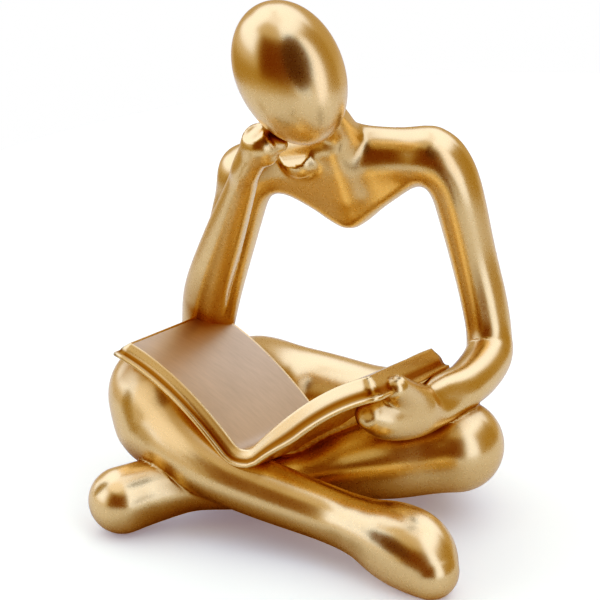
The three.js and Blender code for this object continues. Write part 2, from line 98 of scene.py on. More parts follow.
HAND_FACET = (-15.7, -1.1, 110.5)
HAND_FACET_WAY = (-0.35, -0.42, 0.83)
HAND_END = (-9.4, -2.1, 108.1)
HAND_END_WAY = (0.73, 0.18, 0.56)
COLLAR_BUMP = (-7.6, 19, 94.9, 5.6)
COLLAR_FACET = (-8.5, 16.8, 97.4)
COLLAR_FACET_WAY = (-0.27, -0.62, 0.74)

# Left arm, its hand around the edge of the book and its thumb on the page
SHOULDER_ROUND_LEFT = (30.8, 28.4, 93.4, 6.8)
UPPER_ARM_LEFT = (33.6, 29.2, 85.8, 7)
ARM_MIDDLE_LEFT = (37.5, 31.1, 66.9, 6.4)
LOWER_ARM_LEFT = (40.8, 31, 53, 6.3)
ELBOW_LEFT = (42.7, 29.4, 43.8, 6.2)
ELBOW_FRONT_LEFT = (43.5, 24.5, 38.8, 6.5)
FOREARM_LEFT = (41.4, 10.4, 37.4, 6.2)
WRIST_LEFT = (36.6, 1, 38.9, 4.6)
ARM_END_LEFT = (33.7, -4.9, 39.6, 3)
HAND_HEEL_LEFT = (42, 7.1, 35.6, 3.7)
HAND_EDGE_LEFT = (36.5, -2.6, 34.5, 4.4)
PALM_LEFT = (31.5, -10.2, 36.4, 6.6)
KNUCKLES_LEFT = (26.9, -18.1, 38.6, 6.3)
FINGERTIPS_LEFT = (23.5, -22.6, 40.9, 4.6)
THUMB_ROOT_LEFT = (32, -10, 40.3, 4.8)
THUMB_LEFT = (30.8, -16.4, 45.2, 4.3)
THUMB_TIP_LEFT = (29.9, -21.3, 49.2, 3.7)

# Seat and thighs
HIP_RIGHT = (-24.3, 37.4, 13.5, 15.4)
SEAT = (-8.4, 40.6, 12, 13.7)
HIP_LEFT = (13, 37, 11.2, 12.7)
THIGH_BACK_RIGHT = (-28, 23.9, 21.6, 12.4)
THIGH_RIGHT = (-35.3, 7.5, 27, 11.6)
KNEE_TOP_RIGHT = (-40.6, -4.2, 32.2, 13.8)
THIGH_BACK_LEFT = (25, 27.8, 15.8, 12)
THIGH_LEFT = (34.4, 15.8, 17.9, 12.2)
KNEE_LEFT = (39.8, 6.9, 20.2, 12.4)

# Shins and feet, the right one crossing in front
KNEE_RIGHT = (-37.8, -6.2, 26.3, 15.1)
SHIN_TOP_RIGHT = (-30.6, -14.4, 22.2, 11.8)
SHIN_RIGHT = (-19.7, -21.5, 18.9, 8.9)
SHIN_CROSSING_RIGHT = (-5.7, -24.9, 15.9, 8.2)
SHIN_LOW_RIGHT = (13.9, -29, 12.7, 7.7)
ANKLE_RIGHT = (24.9, -33.3, 11.8, 8.5)
HEEL_RIGHT = (34.4, -36.6, 10.4, 11)
FOOT_RIGHT = (40.4, -39.9, 9.4, 10.8)
TOES_RIGHT = (45.5, -43.7, 6.6, 7.8)
CALF_TOP_LEFT = (31.2, 4.6, 19, 12.3)
CALF_LEFT = (22.3, 1.2, 18, 12.1)
CALF_LOW_LEFT = (12.4, -3.5, 16.5, 10)
SHIN_CROSSING_LEFT = (-0.1, -9, 12.7, 7.8)
SHIN_LEFT = (-16.6, -15.4, 12.7, 7.6)
ANKLE_LEFT = (-28.5, -18, 11.8, 7.6)
FOOT_LEFT = (-38.6, -22.2, 10.2, 8.7)
TOES_LEFT = (-45.3, -27.2, 9, 9.2)

# Head: an egg that leans to the figure's right and nods forward
HEAD_CENTRE = (-5, -1, 129.2)
HEAD_HALF_SIZES = (14.4, 15.2, 22.5)
HEAD_TAPER = 0.05
HEAD_ROLL = -17.4
HEAD_NOD = 17.1

# Book: the near end of its spine, its attitude in degrees and its sizes
SPINE_NEAR = (-11.4, -26.5, 27.9)
BOOK_TURN = -15
BOOK_TILT = -10.3
BOOK_ROLL = -4.7
PAGE_LENGTH = 45.5
PAGE_WIDTH_RIGHT_HAND = 36
PAGE_WIDTH_LEFT_HAND = 34.2
COVER_MARGIN = 2.3
COVER_THICKNESS = 1.9
PAGES_THIN = 3
PAGES_THICK = 5.2
PAGES_THIN_TO = 1
PAGES_THICK_FROM = 12

# The open pages climb from the spine as CLIMB * u - ARCH * u * u, less the width of the gutter
PAGE_CLIMB = 1.115
PAGE_ARCH = 0.0102
PAGE_GUTTER = 2
GUTTER_ROUNDING = 0.8

# The page on the figure's left widens by these shares of its width, at its near and far ends
WIDER_NEAR = 0.115
WIDER_FAR = -0.05

HAND_SUNK_IN_COVER = 0.3

# Lap filling: the solid stretch between the legs, under the book
LAP_UNDERSIDE = 5
LAP_BELOW_PAGES = 4.2
LAP_TOP_BEHIND_BOOK = 14
LAP_SETBACK = 4.5
CLEAR_BELOW_PAGES = 2.2
CLEAR_ABOVE_SPINE = 34

# Softness of the joins
SOFT_TORSO = 8
SOFT_NECK = 4
SOFT_COLLAR = 1.6
SOFT_BREAST = 7
SOFT_SHOULDER = 8
SOFT_HIP = 6
SOFT_HAND = 4
SOFT_WRIST = 3
SOFT_THUMB = 6
SOFT_BODY = 1.5
SOFT_KNEE = 2
SOFT_CREASE = 0.8

# Grid that the skin of the body is worked out on: cell, corners, coarser grid away from the skin
CELL = 0.8
GRID_LOW = (-57, -57, -2.3)
GRID_HIGH = (57, 57, 154)
COARSE = 4
# Limbs: steps between stations, links taken together, and where their distance need not be exact
STEPS_PER_STATION = 15
LINKS_AT_ONCE = 5
FAR = 12
# Points of the skin: rounds of settling, reach of a slope, gap to the sides of the cell, depth of
# a grid point that is made solid, and reach of the slope that the skin is shaded by
SETTLING_ROUNDS = 2
SLOPE_NUDGE = CELL / 20
CELL_MARGIN = CELL / 50
FILLED_DEPTH = CELL / 20
NORMAL_REACH = 0.45
# Keeps a division from being by zero
TINY = 1e-9

# Book mesh: its steps, the rim round the pages, the corner that the hand holds and its cover
BOOK_STEP = 0.7
SLOPE_STEP = 0.1
RIM_DROP = 0.2
RIM_WIDTH = 0.55
RIM_EDGE_DROP = RIM_DROP / 3
# Rings of the rim: depth and share of its width, in from the edge of the pages
RIM_PROFILE = [(RIM_DROP, 1), (RIM_EDGE_DROP, 0.75), (0, 0.45), (RIM_EDGE_DROP, 0.1)]
CORNER_STEPS = 3
# Sides of the book: share of its depth, share of the margin, painted shade of the hollow in the flare
SIDE_PROFILE = [
    (0.12, 0.08, 0), (0.25, 0.22, 0), (0.38, 0.36, 0), (0.50, 0.48, 0.1), (0.60, 0.53, 0.6),
    (0.70, 0.55, 1), (0.80, 0.57, 1), (0.88, 0.62, 1), (0.95, 0.76, 0.7), (1.00, 1.00, 0)]
ROUNDING_STEPS = 5
COVER_ROUNDING = 0.75
COVER_EDGE = 1.3
# What the depth of a ring is counted from
PAGES, SIDES, UNDERSIDE = range(3)

# How far out a point of the skin looks for limbs and for the book, and how much painted shade that
# puts into its colour
LIMB_SHELTER = [(2.4, 0.85), (6, 0.5)]
BOOK_SHELTER = [(6, 0.9), (14, 0.5)]
# How far from a facet the painted shade starts, and from where on it is full
SHADE_FROM_FACET = 4
SHADE_FULL_FROM_FACET = 5


def melt(a, b, width):
    """Soft union of two distances: the lower one, rounded where the two are within width."""
    overlap = np.maximum(width - np.abs(a - b), 0) / width
    return np.minimum(a, b) - overlap**3 * width / 6


def catmull_rom(rows, steps):
    """Points along the smooth curve through the rows, with steps to each span."""
    rows = np.asarray(rows, float)
    rows = np.vstack([2 * rows[0] - rows[1], rows, 2 * rows[-1] - rows[-2]])
    points = []
    for i in range(1, len(rows) - 2):
        before, start, end, after = rows[i - 1 : i + 3]
        for step in range(steps):
            t = step / steps
            linear = (end - before) * t
            square = (2 * before - 5 * start + 4 * end - after) * t**2
            cube = (3 * start - before - 3 * end + after) * t**3
            points.append((2 * start + linear + square + cube) / 2)
    points.append(rows[-2])
    return np.array(points)


def limb(*stations):
    """Distance to round cones along a smooth curve through the stations."""
    beads = catmull_rom(stations, STEPS_PER_STATION)
    reach = beads[:, 3:]
    low = (beads[:, :3] - reach).min(0)
    high = (beads[:, :3] + reach).max(0)

    def distance(points):
        outside = np.maximum(np.maximum(low - points, points - high), 0)
        result = np.sqrt((outside**2).sum(1))
        near = np.flatnonzero(result < FAR)
        result[near] = np.inf
        for first in range(0, len(beads) - 1, LINKS_AT_ONCE):
            run = beads[first : first + LINKS_AT_ONCE + 1]
            run_low = (run[:, :3] - run[:, 3:]).min(0)
            run_high = (run[:, :3] + run[:, 3:]).max(0)
            outside = np.maximum(np.maximum(run_low - points[near], points[near] - run_high), 0)
            away = np.sqrt((outside**2).sum(1))
            close = near[(away == 0) | (away < np.minimum(result[near], FAR))]
            best = result[close]
            for start, end in zip(run[:-1], run[1:]):
                along = end[:3] - start[:3]
                offset = points[close] - start[:3]
                t = np.clip(offset @ along / max(along @ along, TINY), 0, 1)
                gap = np.sqrt(((offset - t[:, None] * along) ** 2).sum(1))
                best = np.minimum(best, gap - start[3] - t * (end[3] - start[3]))
            result[close] = best
        return np.minimum(result, 2 * FAR)

    return distance


def rounded_triangle(a, b, c, radius):
    """Distance to a flat triangle thickened by a radius."""
    a, b, c = (np.array(corner, float) for corner in (a, b, c))
    normal = np.cross(b - a, a - c)

    def edge(points, start, end):
        along = end - start
        t = np.clip((points - start) @ along / (along @ along), 0, 1)
        return ((start + t[:, None] * along - points) ** 2).sum(1)

    def distance(points):
        sides = sum(
            np.sign((points - start) @ np.cross(end - start, normal))
            for start, end in ((a, b), (b, c), (c, a))
        )
        level = ((points - a) @ normal) ** 2 / (normal @ normal)
        nearest_edge = np.minimum.reduce([edge(points, a, b), edge(points, b, c), edge(points, c, a)])
        return np.sqrt(np.where(sides < 2, nearest_edge, level)) - radius

    return distance


def egg(centre, half_sizes, taper, turn):
    """Distance, near the surface, to an egg that is wider towards its upper end by the taper."""
    axes = np.array(turn.to_matrix())
    half_sizes = np.array(half_sizes, float)

    def distance(points):
        local = (points - np.array(centre)) @ axes
        swell = 1 + taper * local[:, 2:] / half_sizes[2]
        local = np.hstack([local[:, :2] / swell, local[:, 2:]]) / half_sizes
        level = np.sqrt((local**2).sum(1))
        slope = np.sqrt(((local / half_sizes) ** 2).sum(1))
        return level * (level - 1) / np.maximum(slope, TINY)

    return distance


def plan_outline(stations):
    """Distance in plan to a closed outline through the stations, negative inside it."""
    outline = np.array([station[:2] for station in stations], float)

    def distance(points):
        plan = points[:, :2]
        nearest = np.full(len(plan), np.inf)
        inside = np.zeros(len(plan), bool)
        for start, end in zip(outline, np.roll(outline, -1, axis=0)):
            along = end - start
            offset = plan - start
            t = np.clip(offset @ along / (along @ along), 0, 1)
            nearest = np.minimum(nearest, np.sqrt(((offset - t[:, None] * along) ** 2).sum(1)))
            spans = (start[1] > plan[:, 1]) != (end[1] > plan[:, 1])
            if along[1] != 0:
                crossing = start[0] + along[0] * (plan[:, 1] - start[1]) / along[1]
                inside ^= spans & (plan[:, 0] < crossing)
        return np.where(inside, -nearest, nearest)

    return distance


def degrees(*angles):
    return [math.radians(angle) for angle in angles]


def turned(nod, roll, turn):
    """Turn by roll about Y, then nod about X, then turn about Z."""
    about_x = Euler(degrees(nod, 0, 0)).to_quaternion()
    about_y = Euler(degrees(0, roll, 0)).to_quaternion()
    about_z = Euler(degrees(0, 0, turn)).to_quaternion()
    return about_z @ about_x @ about_y


# Book frame: u to the figure's left, v away from the near edge, w up from the pages
book_axes = np.array(turned(BOOK_TILT, BOOK_ROLL, BOOK_TURN).to_matrix())
head_turn = turned(HEAD_NOD, HEAD_ROLL, 0)


def page_rise(u):
    """Height of the page surface at a distance u from the spine."""
    reach = np.abs(u)
    climb = PAGE_CLIMB * reach - PAGE_ARCH * reach * reach - PAGE_GUTTER
    return (climb + np.hypot(climb, GUTTER_ROUNDING)) / 2


def widened(u, v):
    """Distance from the spine at v, once the page on the figure's left is given its slant."""
    return np.where(u > 0, u * (1 + WIDER_NEAR + (WIDER_FAR - WIDER_NEAR) * v / PAGE_LENGTH), u)


def smooth_step(value, start, end):
    t = np.clip((value - start) / (end - start), 0, 1)
    return t * t * (3 - 2 * t)


def page_depth(u):
    """Depth of the page block under the page surface: thin on one side, thick on the other."""
    return PAGES_THIN + (PAGES_THICK - PAGES_THIN) * smooth_step(u, PAGES_THIN_TO, PAGES_THICK_FROM)


shoulder_bar = limb(SHOULDER_RIGHT, COLLAR_RIGHT, NAPE, COLLAR_LEFT, SHOULDER_LEFT)
chest = rounded_triangle(CHEST_RIGHT, CHEST_LEFT, CHEST_TIP, CHEST_RADIUS)
chest_top = rounded_triangle(CHEST_TOP_RIGHT, CHEST_TOP, CHEST_MIDDLE, CHEST_RADIUS)
breast = limb(BREAST_TOP, BREAST, BREAST_LOW)
neck = limb(NECK_ROOT, NECK_MIDDLE, NECK_TOP)
upper_arm_right = limb(
    SHOULDER_RIGHT, UPPER_ARM_RIGHT, ARM_MIDDLE_RIGHT, LOWER_ARM_RIGHT, ELBOW_RIGHT)
forearm_right = limb(
    ELBOW_RIGHT, ELBOW_FRONT_RIGHT, FOREARM_RIGHT, FOREARM_MIDDLE_RIGHT, WRIST_RIGHT,
    PALM_ROOT_RIGHT, PALM_RIGHT)
hand_right = limb(PALM_RIGHT, KNUCKLES_RIGHT, FINGERTIPS_RIGHT)
chin_finger_right = limb(PALM_RIGHT, CHIN_FINGER_RIGHT)
collar_bump = limb(COLLAR_BUMP, NAPE)
arm_left = limb(
    SHOULDER_LEFT, SHOULDER_ROUND_LEFT, UPPER_ARM_LEFT, ARM_MIDDLE_LEFT, LOWER_ARM_LEFT,
    ELBOW_LEFT, ELBOW_FRONT_LEFT, FOREARM_LEFT, WRIST_LEFT, ARM_END_LEFT)
hand_left = limb(HAND_HEEL_LEFT, HAND_EDGE_LEFT, PALM_LEFT, KNUCKLES_LEFT, FINGERTIPS_LEFT)
thumb_left = limb(THUMB_ROOT_LEFT, THUMB_LEFT, THUMB_TIP_LEFT)
seat = limb(HIP_RIGHT, SEAT, HIP_LEFT)
thigh_right = limb(HIP_RIGHT, THIGH_BACK_RIGHT, THIGH_RIGHT, KNEE_TOP_RIGHT, KNEE_RIGHT)
thigh_left = limb(HIP_LEFT, THIGH_BACK_LEFT, THIGH_LEFT, KNEE_LEFT)
shin_right = limb(
    KNEE_RIGHT, SHIN_TOP_RIGHT, SHIN_RIGHT, SHIN_CROSSING_RIGHT, SHIN_LOW_RIGHT,
    ANKLE_RIGHT, HEEL_RIGHT, FOOT_RIGHT, TOES_RIGHT)
shin_left = limb(
    KNEE_LEFT, CALF_TOP_LEFT, CALF_LEFT, CALF_LOW_LEFT, SHIN_CROSSING_LEFT,
    SHIN_LEFT, ANKLE_LEFT, FOOT_LEFT, TOES_LEFT)
head = egg(HEAD_CENTRE, HEAD_HALF_SIZES, HEAD_TAPER, head_turn)
lap_plan = plan_outline([
    SHIN_TOP_RIGHT, SHIN_LEFT, SHIN_CROSSING_LEFT, CALF_LOW_LEFT, CALF_LEFT,
    THIGH_BACK_LEFT, HIP_LEFT, SEAT, HIP_RIGHT, THIGH_BACK_RIGHT, THIGH_RIGHT])


def lower_body(points):
    """Legs and seat with the filling under the book, cleared from above the open pages."""
    leg_left = melt(thigh_left(points), shin_left(points), SOFT_KNEE)
    leg_right = melt(thigh_right(points), shin_right(points), SOFT_KNEE)
    seated = seat(points)
    legs = melt(melt(leg_left, seated, SOFT_HIP), melt(leg_right, seated, SOFT_HIP), SOFT_CREASE)
    u, v, w = ((points - np.array(SPINE_NEAR)) @ book_axes).T
    height = points[:, 2]
    pages = page_rise(np.minimum(u, PAGE_WIDTH_LEFT_HAND))
    under_book = np.maximum.reduce([w - pages + LAP_BELOW_PAGES, LAP_SETBACK - v, v - PAGE_LENGTH])
    behind_book = np.maximum(height - LAP_TOP_BEHIND_BOOK, PAGE_LENGTH / 2 - v)
    filling = np.maximum.reduce(
        [lap_plan(points), LAP_UNDERSIDE - height, np.minimum(under_book, behind_book)])
    clearing = np.maximum.reduce([
        -PAGE_WIDTH_RIGHT_HAND - u, u - PAGE_WIDTH_LEFT_HAND, -v, v - PAGE_LENGTH,
        pages - CLEAR_BELOW_PAGES - w, w - CLEAR_ABOVE_SPINE])
    return np.maximum(melt(legs, filling, SOFT_CREASE), -clearing)


def behind(points, spot, way):
    """Distance in front of a plane through the spot that faces the way given."""
    return (points - np.array(spot)) @ (np.array(way) / math.hypot(*way))


def holding_hand(points):
    """The left hand under the cover, with its thumb over the edge."""
    u, v, w = ((points - np.array(SPINE_NEAR)) @ book_axes).T
    edge = widened(PAGE_WIDTH_LEFT_HAND, v) + COVER_MARGIN - HAND_SUNK_IN_COVER
    underside = page_rise(u) - PAGES_THICK - COVER_THICKNESS + HAND_SUNK_IN_COVER
    fingers = np.maximum(hand_left(points), -np.maximum(u - edge, underside - w))
    return melt(fingers, thumb_left(points), SOFT_THUMB)


def upper_body(points):
    torso = melt(melt(chest(points), breast(points), SOFT_BREAST), chest_top(points), SOFT_BREAST)
    torso = melt(melt(shoulder_bar(points), torso, SOFT_TORSO), neck(points), SOFT_NECK)
    holding_arm = melt(arm_left(points), holding_hand(points), SOFT_WRIST)
    arms = melt(melt(torso, holding_arm, SOFT_SHOULDER), upper_arm_right(points), SOFT_SHOULDER)
    collar = np.maximum(collar_bump(points), behind(points, COLLAR_FACET, COLLAR_FACET_WAY))
    forearm = melt(forearm_right(points), hand_right(points), SOFT_HAND)
    forearm = np.maximum(forearm, behind(points, HAND_FACET, HAND_FACET_WAY))
    forearm = np.maximum(forearm, behind(points, HAND_END, HAND_END_WAY))
    forearm = melt(forearm, chin_finger_right(points), SOFT_CREASE)
    return melt(np.minimum(melt(arms, collar, SOFT_COLLAR), head(points)), forearm, SOFT_CREASE)


def figure(points):
    """Distance to the whole figure without its book, cut flat at the floor."""
    body = melt(upper_body(points), lower_body(points), SOFT_BODY)
    return np.maximum(body, -points[:, 2])


def book_block(points):
    """Distance to the book, taken as a curved slab."""
    u, v, w = ((points - np.array(SPINE_NEAR)) @ book_axes).T
    top = page_rise(np.clip(u, -PAGE_WIDTH_RIGHT_HAND, PAGE_WIDTH_LEFT_HAND))
    across = np.maximum(u - PAGE_WIDTH_LEFT_HAND, -PAGE_WIDTH_RIGHT_HAND - u) - COVER_MARGIN
    along = np.abs(v - PAGE_LENGTH / 2) - PAGE_LENGTH / 2 - COVER_MARGIN
    thickness = np.maximum(w - top, top - PAGES_THIN - COVER_THICKNESS - w)
    return np.maximum.reduce([across, along, thickness])


def shelter(points, facing):
    """Share of painted shade at each point, from 0 to 1: how much other gold lies close in front of
    it, none on the facets.
    """
    deepest = np.zeros(len(points))
    for field, looks in ((figure, LIMB_SHELTER), (book_block, BOOK_SHELTER)):
        for reach, share in looks:
            open_air = field(points + reach * facing) / reach
            deepest = np.maximum(deepest, share * (1 - open_air))
    for spot in (COLLAR_FACET, HAND_FACET):
        away = np.sqrt(((points - np.array(spot)) ** 2).sum(1))
        deepest *= smooth_step(away, SHADE_FROM_FACET, SHADE_FULL_FROM_FACET)
    return np.clip(deepest, 0, 1)


def grid_points(low, counts, cell):
    """All points of a grid, the last axis running fastest."""
    axes = [low[k] + cell * np.arange(counts[k]) for k in range(3)]
    return np.stack(np.meshgrid(*axes, indexing="ij"), -1).reshape(-1, 3)


def stretched(values, factor, counts):
    """Values of a coarse grid at the points of a finer one, linear between them."""
    for axis in range(3):
        places = np.arange(counts[axis]) / factor
        start = np.minimum(places.astype(int), values.shape[axis] - 2)
        share = (places - start).reshape([-1 if k == axis else 1 for k in range(3)])
        low = np.take(values, start, axis)
        high = np.take(values, start + 1, axis)
        values = low + (high - low) * share
    return values


def field_on_grid(field, low, counts, cell):
    """The distance on a fine grid: exact close to the surface, from a coarse grid elsewhere."""
    coarse_counts = [math.ceil(count / COARSE) + 1 for count in counts]
    coarse = field(grid_points(low, coarse_counts, cell * COARSE)).reshape(coarse_counts)
    values = stretched(coarse, COARSE, counts).astype(np.float64)
    near = np.argwhere(np.abs(values) < cell * COARSE)
    values[tuple(near.T)] = field(low + near * cell)
    return values


def without_diagonals(values):
    """Makes a grid face solid where its solid corners meet only across the diagonal."""
    changed = True
    while changed:
        changed = False
        for first, second in ((0, 1), (1, 2), (2, 0)):
            moved = np.moveaxis(values, (first, second), (0, 1))
            a, b, c, d = moved[:-1, :-1], moved[1:, :-1], moved[1:, 1:], moved[:-1, 1:]
            a_in, b_in = a < 0, b < 0
            diagonal = (a_in == (c < 0)) & (b_in == (d < 0)) & (a_in != b_in)
            if diagonal.any():
                changed = True
                a[diagonal & ~a_in] = -FILLED_DEPTH
                b[diagonal & ~b_in] = -FILLED_DEPTH
    return values


def slope_of(field, points, nudge):
    """Unit direction in which the distance grows fastest."""
    rises = [field(points + nudge * step) - field(points - nudge * step) for step in np.eye(3)]
    slope = np.stack(rises, 1)
    return slope / np.maximum(np.sqrt((slope**2).sum(1, keepdims=True)), TINY)


def skin_of(field, low, high, cell):
    """Vertices and four-sided faces of the surface where the distance is zero."""
    counts = [math.ceil((high[k] - low[k]) / cell) + 1 for k in range(3)]
    values = without_diagonals(field_on_grid(field, np.array(low), counts, cell))
    solid = values < 0
    sums = np.zeros([count - 1 for count in counts] + [3])
    hits = np.zeros([count - 1 for count in counts])
    edges = []
    for axis in range(3):
        moved = np.moveaxis(values, axis, 0)
        inside = np.moveaxis(solid, axis, 0)
        crossed = inside[:-1] != inside[1:]
        start, end = moved[:-1][crossed], moved[1:][crossed]
        place = np.argwhere(crossed)
        order = [axis] + [k for k in range(3) if k != axis]
        corner = np.empty_like(place)
        corner[:, order] = place
        exact = corner.astype(float)
        exact[:, axis] += start / (start - end)
        edges.append((axis, corner, start < 0))
        for shift_b in (0, 1):
            for shift_c in (0, 1):
                cell_at = corner.copy()
                cell_at[:, order[1]] -= shift_b
                cell_at[:, order[2]] -= shift_c
                np.add.at(sums, tuple(cell_at.T), exact)
                np.add.at(hits, tuple(cell_at.T), 1)
    cells = np.argwhere(hits > 0)
    number = np.full(hits.shape, -1)
    number[tuple(cells.T)] = np.arange(len(cells))
    middle = sums[tuple(cells.T)] / hits[tuple(cells.T)][:, None]
    points = np.array(low) + middle * cell
    floor = np.array(low) + cells * cell
    for _ in range(SETTLING_ROUNDS):
        points = points - field(points)[:, None] * slope_of(field, points, SLOPE_NUDGE)
        points = np.clip(points, floor + CELL_MARGIN, floor + cell - CELL_MARGIN)
    quads = []
    for axis, corner, outward in edges:
        second, third = (axis + 1) % 3, (axis + 2) % 3
        ring = []
        for shift_second, shift_third in ((1, 1), (0, 1), (0, 0), (1, 0)):
            cell_at = corner.copy()
            cell_at[:, second] -= shift_second
            cell_at[:, third] -= shift_third
            ring.append(number[tuple(cell_at.T)])
        ring = np.stack(ring, 1)
        ring[~outward] = ring[~outward][:, ::-1]
        quads.append(ring)
    return points, np.vstack(quads)


def mesh_object(name, points_mm, faces):
    """A mesh object from points in millimetres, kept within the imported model's box."""
    mesh = bpy.data.meshes.new(name)
    points = np.clip(np.asarray(points_mm, float) * MM, cad_low, cad_high)
    mesh.from_pydata(points.tolist(), [], np.asarray(faces).tolist())
    mesh.shade_smooth()
    mesh.update()
    piece = bpy.data.objects.new(name, mesh)
    bpy.context.scene.collection.objects.link(piece)
    return piece


def mark_painted_shade(piece, shade_shares):
    """Notes on each point how much painted shade darkens its colour, from 0 to 1."""
    layer = piece.data.attributes.new("painted_shade", "FLOAT", "POINT")
    layer.data.foreach_set("value", np.asarray(shade_shares, np.float32))


def book_levels():
    """Rings from the pages down to the underside of the cover: (depth, what it is counted from,
    distance out from the edge of the pages, painted shade in the hollow of the sides)."""
    levels = [(drop, PAGES, -RIM_WIDTH * inward, 0) for drop, inward in RIM_PROFILE]
    # The sides carry painted shade, a dark band in the hollow of their flare
    levels += [(depth, SIDES, COVER_MARGIN * out, painted_shade) for depth, out, painted_shade in SIDE_PROFILE]
    for step in range(ROUNDING_STEPS + 1):
        turn = math.pi / 2 * step / ROUNDING_STEPS
        levels.append(
            (-COVER_ROUNDING * (1 - math.sin(turn)), UNDERSIDE,
             COVER_MARGIN - COVER_ROUNDING * (1 - math.cos(turn)), 0))
    return levels


def book_mesh(name):
    """The open book: page surfaces with a fine raised rim, and sides that flare to the cover."""
    across = round((PAGE_WIDTH_RIGHT_HAND + PAGE_WIDTH_LEFT_HAND) / BOOK_STEP)
    along = round(PAGE_LENGTH / BOOK_STEP)
    u_places = np.linspace(-PAGE_WIDTH_RIGHT_HAND, PAGE_WIDTH_LEFT_HAND, across + 1)
    v_places = np.linspace(0, PAGE_LENGTH, along + 1)

    def place(flat_u, v, depth):
        u = float(widened(flat_u, v))
        slope = (page_rise(u + SLOPE_STEP) - page_rise(u - SLOPE_STEP)) / (2 * SLOPE_STEP)
        stretch = math.hypot(1, slope)
        local = [u + slope * depth / stretch, v, page_rise(u) - depth / stretch]
        return np.array(SPINE_NEAR) + book_axes @ np.array(local)

    ring = [(i, 0) for i in range(across)] + [(across, j) for j in range(along)]
    ring += [(across - i, along) for i in range(across)] + [(0, along - j) for j in range(along)]
    points, faces, painted_shade = [], [], []

    def edge_spot(i, j):
        """Place on the edge and direction out of it, round the corner that the hand holds."""
        u, v = u_places[i], v_places[j]
        steps = max(across - i, j)
        if steps >= CORNER_STEPS or not (i == across or j == 0):
            return u, v, (i == across) - (i == 0), (j == along) - (j == 0)
        turn = math.pi / 4 * (1 - steps / CORNER_STEPS)
        if i == across:
            turn = math.pi / 2 - turn
        way_u, way_v = math.sin(turn), -math.cos(turn)
        radius = CORNER_STEPS * BOOK_STEP
        return u_places[-1] - radius + radius * way_u, radius + radius * way_v, way_u, way_v

    def add_level(depth, counted_from, out, shade):
        start = len(points)
        for i, j in ring:
            edge_u, edge_v, way_u, way_v = edge_spot(i, j)
            full = page_depth(edge_u) + COVER_THICKNESS
            zero, scale = {
                PAGES: (0, 1), SIDES: (RIM_EDGE_DROP, full - COVER_EDGE), UNDERSIDE: (full, 1),
            }[counted_from]
            level = zero + depth * scale
            points.append(place(edge_u + out * way_u, edge_v + out * way_v, level))
            painted_shade.append(shade)
        return start

    def add_cap(start, level_of, downward):
        numbers = {spot: start + k for k, spot in enumerate(ring)}
        for i in range(1, across):
            for j in range(1, along):
                numbers[i, j] = len(points)
                points.append(place(u_places[i], v_places[j], level_of(u_places[i])))
                painted_shade.append(0)
        for i in range(across):
            for j in range(along):
                face = [numbers[i, j], numbers[i + 1, j], numbers[i + 1, j + 1], numbers[i, j + 1]]
                faces.append(face[::-1] if downward else face)

    starts = [add_level(*level) for level in book_levels()]
    for upper, lower in zip(starts[:-1], starts[1:]):
        for k in range(len(ring)):
            after = (k + 1) % len(ring)
            faces.append([upper + after, upper + k, lower + k, lower + after])
    top_from = len(faces)
    add_cap(starts[0], lambda u: RIM_DROP, False)
    top_to = len(faces)
    add_cap(starts[-1], lambda u: page_depth(u) + COVER_THICKNESS, True)
    piece = mesh_object(name, np.array(points) + CENTRING, faces)
    mark_painted_shade(piece, painted_shade)
    page_faces = [piece.data.polygons[k] for k in range(top_from, top_to)]
    return piece, page_faces


points, faces = skin_of(figure, GRID_LOW, GRID_HIGH, CELL)
points[:, 2] = np.maximum(points[:, 2], 0)
body = mesh_object("reading_figure_body", points + CENTRING, faces)
facing = slope_of(figure, points, NORMAL_REACH)
body.data.normals_split_custom_set_from_vertices(facing.tolist())
# Painted shade on the skin, darker where other gold lies close in front
mark_painted_shade(body, shelter(points, facing))
book, page_faces = book_mesh("reading_figure_book")

# Gold paint, and the paler and duller paint of the pages, whose paler colour is a painted reflection
GOLD_COLOUR = (0.90, 0.64, 0.31)
GOLD_ROUGHNESS = 0.28
PAGE_REFLECTION_COLOUR = (0.74, 0.545, 0.345)
PAGE_ROUGHNESS = 0.44
# Painted shade: the dark brown that the gold is mixed towards in hollows, creases and under the book
PAINTED_SHADE_COLOUR = (0.38, 0.155, 0.03)
ROUGHNESS_SPREAD = 0.03
# Brushed grain: how many to a metre, layers of noise, strength and height in metres
GRAINS = 1400
NOISE_LAYERS = 3
GRAIN_STRENGTH = 0.09
GRAIN_HEIGHT = 0.000012
# Brushed streaks of the page: how many to a metre across and along them, and their turn
STREAKS = (220, 900, 220)
STREAK_TURN = 50
STREAK_DEPTH = 0.2
# Cloudy patches of the page: how many to a metre
CLOUDS = 60


def new_material(name):
    material = bpy.data.materials.new(name)
    material.use_nodes = True
    tree = material.node_tree
    return material, tree, tree.nodes["Principled BSDF"]


def node(tree, kind, **settings):
    """A node with its settings: input values by input name, other values by property name."""
    made = tree.nodes.new(kind)
    for key, value in settings.items():
        if hasattr(made, key):
            setattr(made, key, value)
        else:
            made.inputs[key.replace("_", " ").capitalize()].default_value = value
    return made


def math_node(tree, operation, *values):
    made = tree.nodes.new("ShaderNodeMath")
    made.operation = operation
    for socket, value in zip(made.inputs, values):
        if isinstance(value, (int, float)):
            socket.default_value = value
        else:
            tree.links.new(value, socket)
    return made.outputs[0]


